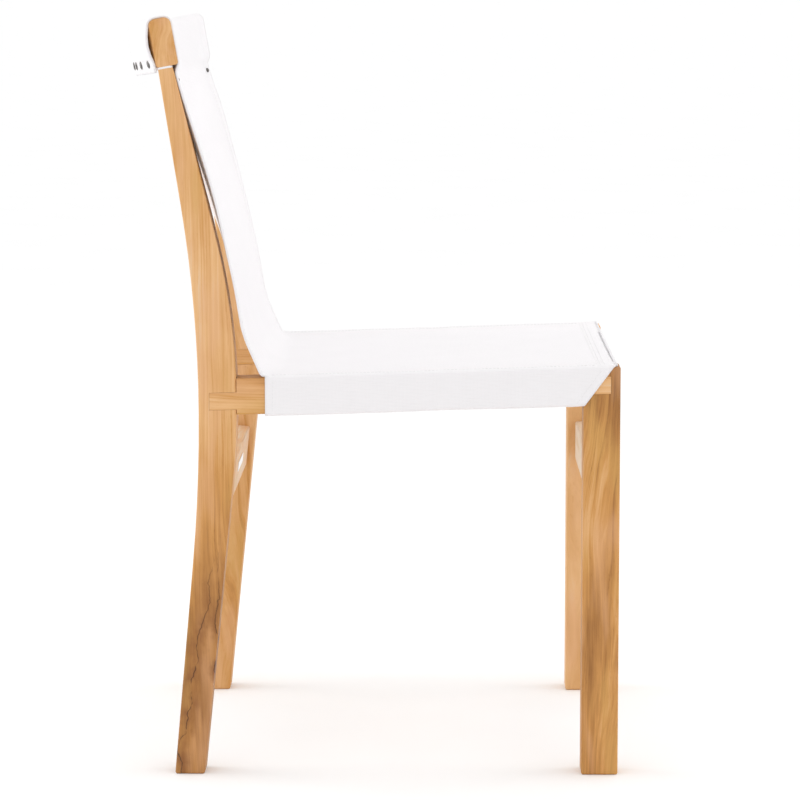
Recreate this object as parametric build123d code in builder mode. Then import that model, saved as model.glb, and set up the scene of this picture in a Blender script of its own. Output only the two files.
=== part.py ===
"""A fixed teak dining chair with a stretched white sling for its seat and back.

Millimetres. The chair faces -Y, +Z is up and the sitter's left is +X. The origin is on the floor,
in the middle of the chair's width and of its depth. "Behind" is always a distance behind the front
faces of the front legs.
"""

import os
from math import cos, radians, sin, sqrt

from build123d import *

os.makedirs("parts", exist_ok=True)

# Overall sizes
frame_width = 490.0  # over the outer faces of the legs
front_y = -278.5  # front faces of the front legs
wood_thickness = 38.0  # legs, posts and side rails, left to right
half_width = frame_width / 2
inner_x = half_width - wood_thickness

# Edges and fits
edge_round = 2.5
joint_gap = 0.2  # glue line around a tenon, dowel or shank
cloth = 2.0  # sling thickness
cloth_gap = 0.3  # between the sling and the wood under it
cloth_hole_depth = 3 * cloth  # of the cut for a shank, from the outside of the cloth

# Front legs, and the seat line, which is the top of the front legs and side rails
leg_depth = 40.7
seat_front_z = 457.8
seat_slope = 0.0326  # drop per millimetre towards the back

# Rear posts: (behind, z) points of their outline
foot_front = (460.4, 0.0)
foot_back = (493.5, 0.0)
back_bend_start = (471.8, 240.0)
back_bend_middle = (464.4, 403.5)
back_bend_end = (482.2, 633.0)
post_top_back = (508.7, 800.0)
post_top_front = (493.1, 800.0)
front_bend_end = (444.5, 600.0)
front_bend_start = (426.8, 331.0)

# Bevel that turns the top of each post's front face inwards, to clear the bowed sling
bevel_bottom_z = 620.0
bevel_top_z = 790.0
bevel_depth = 10.0

# Side rails
rail_height = 40.3
rail_end_low = 422.15  # its rear shoulder, at the bottom and at the top
rail_end_high = 422.55
tenon_height = 19.0
tenon_length = 30.0
tenon_root = 1.0  # where a tenon starts inside its rail
rear_tenon_drop = 4.5  # the rear tenon lies below the rail's middle line

# Cross rails: behind, z, height and lean of each. The rear one leans with the posts.
cross_rail_depth = 20.0
front_cross = (10.5, 292.5, 46.5, 0.0)
rear_cross = (436.0, 284.9, 48.5, 5.7)
cross_tenon_length = 22.0
cross_tenon_depth = 11.0
cross_tenon_shoulder = 7.0

# Blank plate on the rear cross rail's front face
plate_x = 36.0
plate_up = 4.0  # above the rail's middle line
plate_length = 92.0
plate_height = 11.0
plate_thickness = 0.8
plate_corner = 1.5

# Crest rail: a curved board, tilted back, with its ends flush with the posts
crest_height = 52.3
crest_depth = 22.5
crest_bow = 41.0
crest_tilt = 10.3
crest_end_behind = 499.9
crest_end_z = 811.9
crest_top_round = 7.0
crest_bottom_round = 3.0
crest_radius = (half_width**2 + crest_bow**2) / (2 * crest_bow)

# Folded cloth under the crest rail, on top of each post
crest_pad_thickness = 2.2

# Dowels between the posts and the crest rail
dowel_radius = 4.0
dowel_length = 44.0
dowel_x = (214.0, 225.5)  # inboard of the snap's shank
dowel_reach = 20.0  # into the crest rail
dowel_back = 5.8  # behind the line between the ends of the crest rail

# Sleeve over the crest rail, and half the width of the sling's back
back_half_width = 243.0
sleeve_back_drop = 5.5  # how far its back hem hangs below the crest rail
sleeve_cut_round = 0.1
sleeve_open = crest_depth / 2 + cloth_gap
sleeve_face = sleeve_open + cloth

# Studs through the back hem, and the snaps at the top corners of the back panel
stud_count = 11
stud_pitch = 44.4
stud_above_bottom = 5.5
stud_radius = 4.8
stud_rim = 0.8
stud_dome = 1.0
stud_top_radius = 3.2
shank_radius = 1.5
shank_length = 12.0
snap_radius = 2.7
snap_top_radius = 1.7
snap_x = 232.5
snap_z = 771.0
snap_behind = 485.3  # front of the sling under the snap
snap_turn = 0.276  # how far its axis turns inwards, and up
snap_lift = 0.275

# Back panel: just below the crest rail its side edges are tucked back against the posts
tuck_below = 8.0  # below the underside of the crest rail
tuck_end = -6.9  # its side edges, from the line between the ends of the crest rail
tuck_bow = 35.2

# Back panel: height, distance of its rear surface at the side edges, bow at mid-width
back_sections = [
    (757.0, 480.8, 35.1),
    (730.5, 472.3, 34.2),
    (704.0, 464.2, 31.2),
    (650.5, 449.0, 23.8),
    (597.5, 436.0, 14.7),
    (544.0, 424.5, 7.4),
    (500.0, 417.5, 1.5),
]
seat_end_behind = 391.0
bend_run = 4.0  # how far the seat panel's line runs on before it bends up
bend_point = (411.5, 484.0)
bend_rounds = (5.0, 30.0)

# Seat flaps: over the outer face of each side rail, under it and up its inner face
seat_front_behind = 3.0
flap_corner_behind = 5.0
flap_height = rail_height + cloth_gap + cloth  # below the seat line
flap_hem_start = 44.0
flap_hem_height = 24.0
sling_x = half_width + cloth_gap + cloth  # outside of the flaps

# Battens over the flaps' hems, and their screws
batten_start = 56.0
batten_end = 380.0
batten_height = 16.0
batten_depth = 5.0
batten_lift = 5.0  # above the underside of the side rail
screw_count = 5
screw_margin = 22.0
screw_head_radius = 3.6
screw_head_depth = 1.8
screw_length = 20.0
batten_round = 1.2


def at(behind, z):
    """A point on a side-view plane."""
    return (front_y + behind, z)


def seat_line(behind):
    """Height of the top of the side rails and front legs."""
    return seat_front_z - seat_slope * behind


def layer(side, inner, outer):
    """The side-view plane from which a layer between two distances from the middle is extruded."""
    return Plane.YZ.offset(inner if side > 0 else -outer)


def crest_curve(x, out=0.0):
    """Bow of the crest rail at x, on a line that stands out by that much from its middle line."""
    return sqrt((crest_radius + out) ** 2 - x**2) - (crest_radius - crest_bow)


def crest_place(x, out, up):
    """The plane on the crest rail's curved surface at x, facing outwards."""
    turn = x / (crest_radius + out)
    direction = crest_plane.x_dir * turn + crest_plane.y_dir * sqrt(1 - turn**2)
    origin = crest_plane.from_local_coords((x, crest_curve(x, out), up))
    return Plane(origin=origin, z_dir=direction)


def crest_board(near, far, half_length, bottom, top, top_round, bottom_round=0.0):
    """A curved board that follows the crest rail, between two distances from its middle line."""
    with BuildPart() as board:
        with BuildSketch(crest_plane.offset(bottom)):
            with BuildLine():
                for out in (near, far):
                    end_bow = crest_curve(half_length, out)
                    middle = (0, crest_curve(0, out))
                    ThreePointArc((-half_length, end_bow), middle, (half_length, end_bow))
                for x in (-half_length, half_length):
                    Line((x, crest_curve(half_length, near)), (x, crest_curve(half_length, far)))
            make_face()
        extrude(amount=top - bottom)
        curves = board.edges().filter_by(GeomType.CIRCLE)
        levels = curves.group_by(lambda edge: crest_plane.to_local_coords(edge.center()).Z)
        fillet(levels[-1], radius=top_round)
        if bottom_round:
            fillet(levels[0], radius=bottom_round)
    return board.part


def sling_band(plane, end_y, bow, half_length):
    """A cross-section of the sling's back: a curved strip as thick as the cloth."""
    with BuildSketch(plane) as band:
        with BuildLine():
            for y in (end_y - cloth, end_y):
                ThreePointArc((-half_length, y), (0, y + bow), (half_length, y))
            for x in (-half_length, half_length):
                Line((x, end_y - cloth), (x, end_y))
        make_face()
    return band.sketch


def rail_tenons(side, end_room, side_room):
    """The side rail's two tenons, with room around them where they are to cut a slot."""
    half = tenon_height / 2 + side_room
    length = tenon_length + end_room
    ends = [
        (leg_depth + tenon_root, leg_depth - length, 0.0),
        (rail_end_low - tenon_root, rail_end_high + length, rear_tenon_drop),
    ]
    with BuildPart() as tenons:
        with BuildSketch(layer(side, inner_x, half_width)):
            for root, tip, drop in ends:
                middle = seat_line(root) - rail_height / 2 - drop
                tip_middle = seat_line(tip) - rail_height / 2 - drop
                with BuildLine():
                    Polyline(
                        at(root, middle - half),
                        at(root, middle + half),
                        at(tip, tip_middle + half),
                        at(tip, tip_middle - half),
                        close=True,
                    )
                make_face()
        extrude(amount=wood_thickness)
    return tenons.part


def mortise(side, cross):
    """The blind hole for a cross rail's tenon."""
    behind, z, height, lean = cross
    depth = cross_tenon_length + joint_gap
    with BuildPart() as hole:
        with BuildSketch(layer(side, inner_x, inner_x + depth)):
            with Locations(at(behind + cross_rail_depth / 2, z + height / 2)):
                Rectangle(
                    cross_tenon_depth + 2 * joint_gap,
                    height - 2 * cross_tenon_shoulder + 2 * joint_gap,
                    rotation=lean,
                )
        extrude(amount=depth)
    return hole.part


def front_leg(side):
    slots = rail_tenons(side, joint_gap, joint_gap)
    cross_hole = mortise(side, front_cross)
    with BuildPart() as leg:
        with BuildSketch(layer(side, inner_x, half_width)):
            with BuildLine():
                Polyline(
                    at(0, 0),
                    at(leg_depth, 0),
                    at(leg_depth, seat_line(leg_depth)),
                    at(0, seat_line(0)),
                    close=True,
                )
            make_face()
        extrude(amount=wood_thickness)
        fillet(leg.edges(), radius=edge_round)
        add(slots, mode=Mode.SUBTRACT)
        add(cross_hole, mode=Mode.SUBTRACT)
    return leg.part


def rear_post_blank(side):
    """A rear post and the folded cloth on top of it, in one piece up to the crest rail."""
    slots = rail_tenons(side, joint_gap, joint_gap)
    cross_hole = mortise(side, rear_cross)
    with BuildPart() as post:
        with BuildSketch(layer(side, inner_x, half_width)):
            with BuildLine():
                Line(at(*foot_front), at(*foot_back))
                shin = Line(at(*foot_back), at(*back_bend_start))
                low = TangentArc(at(*back_bend_start), at(*back_bend_middle), tangent=shin % 1)
                high = TangentArc(at(*back_bend_middle), at(*back_bend_end), tangent=low % 1)
                Line(high @ 1, at(*post_top_back))
                Line(at(*post_top_back), at(*post_top_front))
                neck = Line(at(*post_top_front), at(*front_bend_end))
                TangentArc(neck @ 1, at(*front_bend_start), tangent=neck % 1)
                Line(at(*front_bend_start), at(*foot_front))
            make_face()
        extrude(amount=wood_thickness)
        split(bisect_by=bevel_plane(side), keep=Keep.TOP)
        fillet(post.edges(), radius=edge_round)
        add(slots, mode=Mode.SUBTRACT)
        add(cross_hole, mode=Mode.SUBTRACT)
        split(bisect_by=crest_plane.offset(-crest_height / 2), keep=Keep.BOTTOM)
        with Locations(*dowel_places(side)):
            Hole(radius=dowel_radius + joint_gap / 2, depth=dowel_length - dowel_reach + joint_gap)
        with Locations(snap_place(side)):
            Hole(radius=shank_radius + joint_gap / 2, depth=shank_length + joint_gap)
    return post.part


def cut_post(side, kept):
    """The rear post's blank on one side of the plane that is the post's top."""
    with BuildPart() as half:
        add(rear_post_blank(side))
        split(bisect_by=crest_plane.offset(-crest_height / 2 - crest_pad_thickness), keep=kept)
    return half.part


def bevel_plane(side):
    """The plane of the bevel at the top of a post, facing backwards."""
    slope = (post_top_front[0] - front_bend_end[0]) / (post_top_front[1] - front_bend_end[1])
    low_front = front_bend_end[0] + slope * (bevel_bottom_z - front_bend_end[1])
    high_front = front_bend_end[0] + slope * (bevel_top_z - front_bend_end[1])
    outer_top = Vector(side * half_width, front_y + high_front, bevel_top_z)
    inner_top = Vector(side * inner_x, front_y + high_front + bevel_depth, bevel_top_z)
    inner_low = Vector(side * inner_x, front_y + low_front, bevel_bottom_z)
    normal = (inner_top - outer_top).cross(inner_low - outer_top)
    if normal.Y < 0:
        normal = normal * -1
    return Plane(origin=outer_top, z_dir=normal)


def dowel_places(side):
    """The planes of two dowel holes, on the underside of the crest rail over one post."""
    underside = crest_plane.offset(-crest_height / 2)
    places = []
    for x in dowel_x:
        origin = underside.from_local_coords((side * x, dowel_back, 0))
        places.append(Plane(origin=origin, x_dir=underside.x_dir, z_dir=underside.z_dir))
    return places


def stud_places():
    """The planes of the studs, on the outside of the sleeve's back hem."""
    up = stud_above_bottom - crest_height / 2
    first = -stud_pitch * (stud_count - 1) / 2
    return [crest_place(first + stud_pitch * i, sleeve_face, up) for i in range(stud_count)]


def snap_place(side):
    """The plane of the snap at one top corner of the back panel."""
    origin = (side * snap_x, front_y + snap_behind, snap_z)
    return Plane(origin=origin, z_dir=(-side * snap_turn, -1, snap_lift))


def side_rail(side):
    tenons = rail_tenons(side, 0.0, 0.0)
    with BuildPart() as rail:
        with BuildSketch(layer(side, inner_x, half_width)):
            with BuildLine():
                Polyline(
                    at(leg_depth, seat_line(leg_depth) - rail_height),
                    at(leg_depth, seat_line(leg_depth)),
                    at(rail_end_high, seat_line(rail_end_high)),
                    at(rail_end_low, seat_line(rail_end_low) - rail_height),
                    close=True,
                )
            make_face()
        extrude(amount=wood_thickness)
        along = Vector(0, 1, -seat_slope)
        fillet(rail.edges().filter_by(Axis((0, 0, 0), along)), radius=edge_round)
        add(tenons)
        with Locations(*screw_places(side)):
            Hole(radius=shank_radius + joint_gap / 2, depth=screw_length)
    return rail.part


def cross_rail(cross):
    behind, z, height, lean = cross
    middle = at(behind + cross_rail_depth / 2, z + height / 2)
    with BuildPart() as rail:
        with BuildSketch(Plane.YZ.offset(-inner_x)):
            with Locations(middle):
                Rectangle(cross_rail_depth, height, rotation=lean)
        extrude(amount=2 * inner_x)
        fillet(rail.edges().filter_by(Axis.X), radius=edge_round)
        with BuildSketch(Plane.YZ.offset(-inner_x - cross_tenon_length)):
            with Locations(middle):
                Rectangle(
                    cross_tenon_depth,
                    height - 2 * cross_tenon_shoulder,
                    rotation=lean,
                )
        extrude(amount=2 * (inner_x + cross_tenon_length))
    return rail.part


def screw_places(side):
    """The planes of the batten screws, on the batten's inner face."""
    x = side * (inner_x - cloth_gap - cloth - batten_depth)
    step = (batten_end - batten_start - 2 * screw_margin) / (screw_count - 1)
    places = []
    for i in range(screw_count):
        behind = batten_start + screw_margin + step * i
        z = seat_line(behind) - rail_height + batten_lift + batten_height / 2
        places.append(Plane(origin=(x, front_y + behind, z), z_dir=(-side, 0, 0)))
    return places


def seat_flap(side):
    """The cloth over one side rail's outer face, under the rail and up its inner face."""
    under = half_width - inner_x + 2 * (cloth_gap + cloth)
    inner = inner_x - cloth_gap
    with BuildPart() as flap:
        with BuildSketch(layer(side, sling_x - cloth, sling_x)):
            with BuildLine():
                Polyline(
                    at(flap_corner_behind, seat_line(flap_corner_behind) + cloth_gap),
                    at(leg_depth, seat_line(leg_depth) - flap_height),
                    at(seat_end_behind, seat_line(seat_end_behind) - flap_height),
                    at(seat_end_behind, seat_line(seat_end_behind) + cloth_gap),
                    close=True,
                )
            make_face()
        extrude(amount=cloth)
        strips = [
            (inner - cloth, under, -flap_height, -flap_height + cloth),
            (inner - cloth, cloth, -flap_height, -flap_height + flap_hem_height),
        ]
        for start, width, low, high in strips:
            with BuildSketch(layer(side, start, start + width)):
                with BuildLine():
                    Polyline(
                        at(flap_hem_start, seat_line(flap_hem_start) + low),
                        at(seat_end_behind, seat_line(seat_end_behind) + low),
                        at(seat_end_behind, seat_line(seat_end_behind) + high),
                        at(flap_hem_start, seat_line(flap_hem_start) + high),
                        close=True,
                    )
                make_face()
            extrude(amount=width)
        with Locations(*screw_places(side)):
            Hole(radius=shank_radius + joint_gap / 2, depth=batten_depth + cloth_hole_depth)
    return flap.part


def flap_batten(side):
    outer = inner_x - cloth_gap - cloth
    with BuildPart() as batten:
        with BuildSketch(layer(side, outer - batten_depth, outer)):
            low = batten_lift - rail_height
            high = low + batten_height
            with BuildLine():
                Polyline(
                    at(batten_start, seat_line(batten_start) + low),
                    at(batten_end, seat_line(batten_end) + low),
                    at(batten_end, seat_line(batten_end) + high),
                    at(batten_start, seat_line(batten_start) + high),
                    close=True,
                )
            make_face()
        extrude(amount=batten_depth)
        inner_face = batten.faces().sort_by(Axis.X)[0 if side > 0 else -1]
        fillet(inner_face.edges(), radius=batten_round)
        with Locations(*screw_places(side)):
            Hole(radius=shank_radius + joint_gap / 2)
    return batten.part


def finish_piece(part, name):
    """Labels one piece and writes it."""
    part.label = name
    export_step(part, f"parts/{name}.step")


tilt = radians(crest_tilt)
crest_plane = Plane(
    origin=(0, front_y + crest_end_behind, crest_end_z),
    x_dir=(1, 0, 0),
    z_dir=(0, sin(tilt), cos(tilt)),
)
low_end = Align.MIN
high_end = Align.MAX
centred = Align.CENTER

# Crest rail
crest_blank = crest_board(
    -crest_depth / 2,
    crest_depth / 2,
    half_width,
    -crest_height / 2,
    crest_height / 2,
    crest_top_round,
    crest_bottom_round,
)
with BuildPart() as crest_rail:
    add(crest_blank)
    with Locations(*stud_places()):
        Hole(radius=shank_radius + joint_gap / 2, depth=shank_length + joint_gap)
    with Locations(*dowel_places(1), *dowel_places(-1)):
        Cylinder(
            radius=dowel_radius + joint_gap / 2,
            height=dowel_reach + joint_gap,
            align=(centred, centred, low_end),
            mode=Mode.SUBTRACT,
        )
finish_piece(crest_rail.part, "crest_rail")

# Cross rails
finish_piece(cross_rail(front_cross), "front_cross_rail")
finish_piece(cross_rail(rear_cross), "rear_cross_rail")

# Blank plate
rear_behind, rear_z, rear_height, rear_lean = rear_cross
rail_middle_y, rail_middle_z = at(rear_behind + cross_rail_depth / 2, rear_z + rear_height / 2)
rail_plane = Plane(
    origin=(0, rail_middle_y, rail_middle_z),
    x_dir=(1, 0, 0),
    z_dir=(0, -cos(radians(rear_lean)), -sin(radians(rear_lean))),
)
with BuildPart() as blank_plate:
    with BuildSketch(rail_plane.offset(cross_rail_depth / 2)):
        with Locations((plate_x, plate_up)):
            RectangleRounded(plate_length, plate_height, plate_corner)
    extrude(amount=plate_thickness)
finish_piece(blank_plate.part, "blank_plate")

# Sleeve over the crest rail: a curved shell, open below
sleeve_cut_bottom = -crest_height / 2 - 2 * sleeve_back_drop
sleeve_outside = crest_board(
    -sleeve_face,
    sleeve_face,
    back_half_width,
    -crest_height / 2 - sleeve_back_drop,
    crest_height / 2 + cloth_gap + cloth,
    crest_top_round + cloth_gap + cloth,
)
sleeve_inside = crest_board(
    -sleeve_open,
    sleeve_open,
    half_width,
    sleeve_cut_bottom,
    crest_height / 2 + cloth_gap,
    crest_top_round + cloth_gap,
)
sleeve_front_end = crest_board(
    -sleeve_face - cloth,
    0,
    half_width,
    sleeve_cut_bottom,
    -crest_height / 2,
    sleeve_cut_round,
)
with BuildPart() as crest_sleeve:
    add(sleeve_outside)
    add(sleeve_inside, mode=Mode.SUBTRACT)
    add(sleeve_front_end, mode=Mode.SUBTRACT)
    with Locations(*stud_places()):
        Hole(radius=shank_radius + joint_gap / 2, depth=cloth_hole_depth)
finish_piece(crest_sleeve.part, "crest_sleeve")

# Back panel: lofted down from the sleeve, then bent forward into the seat
top_end_y = crest_curve(back_half_width, -sleeve_open)
top_bow = crest_curve(0, -sleeve_open) - top_end_y
tuck_plane = crest_plane.offset(-crest_height / 2 - tuck_below)
bands = [
    sling_band(crest_plane.offset(-crest_height / 2), top_end_y, top_bow, back_half_width),
    sling_band(tuck_plane, tuck_end, tuck_bow, back_half_width),
]
for z, behind, bow in back_sections:
    bands.append(sling_band(Plane.XY.offset(z), front_y + behind, bow, back_half_width))
bend_top_z, bend_top_behind, _ = back_sections[-1]
with BuildPart() as sling_back:
    loft(bands, ruled=True)
    with BuildSketch(Plane.YZ.offset(-back_half_width)):
        with BuildLine():
            FilletPolyline(
                at(seat_end_behind, seat_line(seat_end_behind) + cloth_gap + cloth / 2),
                at(seat_end_behind + bend_run, seat_line(seat_end_behind) + cloth_gap + cloth / 2),
                at(*bend_point),
                at(bend_top_behind - cloth / 2, bend_top_z),
                radius=bend_rounds,
            )
        trace(line_width=cloth)
    extrude(amount=2 * back_half_width)
    with Locations(snap_place(1), snap_place(-1)):
        Hole(radius=shank_radius + joint_gap / 2, depth=cloth_hole_depth)
finish_piece(sling_back.part, "sling_back")

# Seat panel
with BuildPart() as sling_seat:
    with BuildSketch(Plane.YZ.offset(-sling_x)):
        low = cloth_gap
        high = cloth_gap + cloth
        with BuildLine():
            Polyline(
                at(seat_front_behind, seat_line(seat_front_behind) + low),
                at(seat_end_behind, seat_line(seat_end_behind) + low),
                at(seat_end_behind, seat_line(seat_end_behind) + high),
                at(seat_front_behind, seat_line(seat_front_behind) + high),
                close=True,
            )
        make_face()
    extrude(amount=2 * sling_x)
finish_piece(sling_seat.part, "sling_seat")

# Studs along the back hem
with BuildPart() as crest_studs:
    with Locations(*stud_places()):
        Cylinder(radius=stud_radius, height=stud_rim, align=(centred, centred, low_end))
        Cylinder(radius=shank_radius, height=shank_length, align=(centred, centred, high_end))
    with Locations(*[plane.offset(stud_rim) for plane in stud_places()]):
        Cone(stud_radius, stud_top_radius, stud_dome, align=(centred, centred, low_end))
finish_piece(crest_studs.part, "crest_studs")

# Snaps at the top corners of the back panel
with BuildPart() as corner_snaps:
    with Locations(snap_place(1), snap_place(-1)):
        Cylinder(radius=snap_radius, height=stud_rim, align=(centred, centred, low_end))
        Cylinder(radius=shank_radius, height=shank_length, align=(centred, centred, high_end))
    with Locations(snap_place(1).offset(stud_rim), snap_place(-1).offset(stud_rim)):
        Cone(snap_radius, snap_top_radius, stud_dome, align=(centred, centred, low_end))
finish_piece(corner_snaps.part, "corner_snaps")

# The pieces that come in pairs
for side, hand in ((1, "left"), (-1, "right")):
    finish_piece(front_leg(side), f"front_leg_{hand}")
    finish_piece(cut_post(side, Keep.BOTTOM), f"rear_post_{hand}")
    finish_piece(cut_post(side, Keep.TOP), f"crest_pad_{hand}")
    finish_piece(side_rail(side), f"side_rail_{hand}")
    finish_piece(seat_flap(side), f"seat_flap_{hand}")
    finish_piece(flap_batten(side), f"flap_batten_{hand}")

    with BuildPart() as batten_screws:
        with Locations(*screw_places(side)):
            Cylinder(
                radius=screw_head_radius,
                height=screw_head_depth,
                align=(centred, centred, low_end),
            )
            Cylinder(
                radius=shank_radius,
                height=screw_length - joint_gap,
                align=(centred, centred, high_end),
            )
    finish_piece(batten_screws.part, f"batten_screws_{hand}")

    with BuildPart() as crest_dowels:
        with Locations(*[plane.offset(dowel_reach) for plane in dowel_places(side)]):
            Cylinder(radius=dowel_radius, height=dowel_length, align=(centred, centred, high_end))
    finish_piece(crest_dowels.part, f"crest_dowels_{hand}")
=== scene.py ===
"""A fixed teak dining chair with one white stretched sling for its seat and back.

Lengths are millimetres in the shape code and in the shaders, and are turned into metres where a
mesh is made. The chair faces -Y and the sitter's left is +X. "Behind" is a distance behind the
front faces of the front legs.
"""

from math import cos, pi, radians, sin

import bpy
import numpy as np
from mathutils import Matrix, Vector


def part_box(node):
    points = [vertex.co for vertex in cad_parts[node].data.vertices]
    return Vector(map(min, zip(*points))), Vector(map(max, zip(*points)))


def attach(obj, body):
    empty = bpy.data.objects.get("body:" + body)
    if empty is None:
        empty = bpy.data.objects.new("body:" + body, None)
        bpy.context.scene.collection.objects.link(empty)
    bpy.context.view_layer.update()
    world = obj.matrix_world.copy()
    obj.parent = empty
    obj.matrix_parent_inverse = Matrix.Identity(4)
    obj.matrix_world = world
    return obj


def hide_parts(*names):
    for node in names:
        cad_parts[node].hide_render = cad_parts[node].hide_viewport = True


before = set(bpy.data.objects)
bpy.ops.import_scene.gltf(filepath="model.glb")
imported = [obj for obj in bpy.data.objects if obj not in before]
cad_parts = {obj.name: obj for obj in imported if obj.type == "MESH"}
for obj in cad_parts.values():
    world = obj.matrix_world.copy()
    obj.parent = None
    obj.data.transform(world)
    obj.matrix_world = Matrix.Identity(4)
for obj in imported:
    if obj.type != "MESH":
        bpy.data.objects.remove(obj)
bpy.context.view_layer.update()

MM = 0.001


def node_box(name):
    """A CAD node's lowest and highest corners, in millimetres."""
    low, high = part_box(name)
    return np.array(low) / MM, np.array(high) / MM


# Sizes read from the frame
leg_low, leg_high = node_box("front_leg_left")
seat_low, seat_high = node_box("sling_seat")
_, sleeve_high = node_box("crest_sleeve")

front_y = leg_low[1]
half_width = leg_high[0]
seat_front = seat_low[1] - front_y
seat_end = seat_high[1] - front_y
sling_half = seat_high[0]
back_half = sleeve_high[0]

# The sling's cloth
cad_cloth = 2.0  # thickness of the plain solids that it stands for
cloth_gap = 0.3  # between those solids and the wood
thin = 1.2  # one layer
thick = 2.2  # a hem: two layers and the thread
middle = cloth_gap + cad_cloth / 2  # from the wood to the middle of the cloth

# Seat line, which is the top of the side rails
seat_slope = 0.0326
seat_line_front = seat_high[2] - cloth_gap - cad_cloth + seat_slope * seat_front
rail_height = 40.3

# Crest rail and the sleeve round it
crest_depth = 22.5
crest_height = 52.3
crest_bow = 41.0
crest_tilt = radians(10.3)
crest_end_behind = 499.9
crest_end_z = 811.9
crest_top_round = 7.0
crest_radius = (half_width**2 + crest_bow**2) / (2 * crest_bow)
sleeve_back_drop = 5.5

# Back panel: height, distance of its rear face at the side edges, bow at mid-width
back_sections = [
    (500.0, 417.5, 1.5),
    (544.0, 424.5, 7.4),
    (597.5, 436.0, 14.7),
    (650.5, 449.0, 23.8),
    (704.0, 464.2, 31.2),
    (730.5, 472.3, 34.2),
    (757.0, 480.8, 35.1),
]
tuck_below = 8.0  # just below the crest rail the side edges are tucked back against the posts
tuck_end = -6.9
tuck_bow = 35.2
bend_run = 4.0
bend_point = (411.5, 484.0)

# Seat flaps, measured from the fold at the seat's edge
flap_corner = 5.0  # behind: where the flap starts, at the fold
flap_low_corner = 40.7  # behind: where its slanting front edge ends, at the bottom
flap_under_start = 44.0
fold_radius = sling_half - cad_cloth / 2 - back_half
flap_inner_height = 24.0

# Hems and stitching
front_hem = 22.0
side_hem = 16.0
back_hem = 18.0
flap_hem = 12.0
hem_step = 1.6  # over which a hem's extra thickness fades out
stitch_length = 3.3
stitch_gap = 0.9
stitch_thickness = 0.55
seam_inset = 3.0  # from a hem's inner edge, or from the cloth's edge
seam_pair = (5.0, 9.5)  # insets of the double seam beside the seat
flap_seam = (7.0, 25.0, 43.0)  # distances from the fold that a flap's front seam passes


# ---------------------------------------------------------------- shader helpers


class Shader:
    """A material's node tree, with short calls for the nodes that the finishes use."""

    def __init__(self, name):
        self.material = bpy.data.materials.new(name)
        self.material.use_nodes = True
        self.tree = self.material.node_tree
        self.tree.nodes.clear()
        self.output = self.tree.nodes.new("ShaderNodeOutputMaterial")

    def node(self, kind, inputs=None, **settings):
        """A node of that kind. An input is a number, a colour, a vector or another node's output."""
        made = self.tree.nodes.new("ShaderNode" + kind)
        for key, value in settings.items():
            setattr(made, key, value)
        for key, value in (inputs or {}).items():
            if isinstance(value, bpy.types.NodeSocket):
                self.tree.links.new(value, made.inputs[key])
            else:
                made.inputs[key].default_value = value
        return made

    def math(self, operation, first, second=0.0, third=0.0):
        return self.node("Math", {0: first, 1: second, 2: third}, operation=operation).outputs[0]

    def vector(self, operation, first, second=(0.0, 0.0, 0.0)):
        inputs = {0: first, 1: second}
        if operation == "SCALE":
            inputs = {0: first, "Scale": second}
        made = self.node("VectorMath", inputs, operation=operation)
        return made.outputs["Value" if operation == "LENGTH" else 0]

    def noise(self, vector, detail=2.0, roughness=0.5, colour=False):
        inputs = {"Vector": vector, "Scale": 1.0, "Detail": detail, "Roughness": roughness}
        made = self.node("TexNoise", inputs)
        return made.outputs["Color" if colour else "Fac"]

    def spread(self, value, low, high, out_low=0.0, out_high=1.0):
        """The value mapped smoothly from one range to another, and held at its ends."""
        inputs = {0: value, 1: low, 2: high, 3: out_low, 4: out_high}
        return self.node("MapRange", inputs, interpolation_type="SMOOTHSTEP").outputs[0]

    def ramp(self, value, stops):
        made = self.node("ValToRGB", {0: value})
        elements = made.color_ramp.elements
        while len(elements) < len(stops):
            elements.new(0.5)
        for element, (place, colour) in zip(elements, stops):
            element.position = place
            element.color = (*colour, 1.0)
        return made.outputs[0]

    def mix(self, amount, first, second):
        made = self.node("Mix", data_type="RGBA")
        for key, value in ((0, amount), (6, first), (7, second)):
            if isinstance(value, bpy.types.NodeSocket):
                self.tree.links.new(value, made.inputs[key])
            else:
                made.inputs[key].default_value = value
        return made.outputs[2]

    def bump(self, height, distance, strength):
        inputs = {"Height": height, "Distance": distance * MM, "Strength": strength}
        return self.node("Bump", inputs).outputs[0]

    def place(self):
        """The point of the row frame, in millimetres."""
        point = self.node("TexCoord").outputs["Object"]
        return self.vector("SCALE", point, 1 / MM)

    def surface(self, glow=0.0, **inputs):
        """The finished material. glow is the share of light that comes through from behind."""
        named = {}
        for key, value in inputs.items():
            named[key.replace("_", " ").title().replace("Ior", "IOR")] = value
        made = self.node("BsdfPrincipled", named)
        if glow:
            through = self.node("BsdfTranslucent", {"Color": inputs["base_color"]})
            made = self.node("MixShader", {0: glow, 1: made.outputs[0], 2: through.outputs[0]})
        self.tree.links.new(made.outputs[0], self.output.inputs[0])
        return self.material


# ---------------------------------------------------------------- materials


teak_dark = (0.215, 0.084, 0.020)
teak_brown = (0.390, 0.172, 0.045)
teak_gold = (0.580, 0.280, 0.080)
teak_pale = (0.760, 0.450, 0.212)
teak_bleached = (0.740, 0.575, 0.410)
teak_pink = (0.700, 0.385, 0.205)
teak_olive = (0.600, 0.345, 0.100)
teak_stain = (0.235, 0.088, 0.026)
teak_crack = (0.085, 0.034, 0.012)


even = (0.0, 1.0, 0.0)  # painted shading that changes nothing


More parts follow.
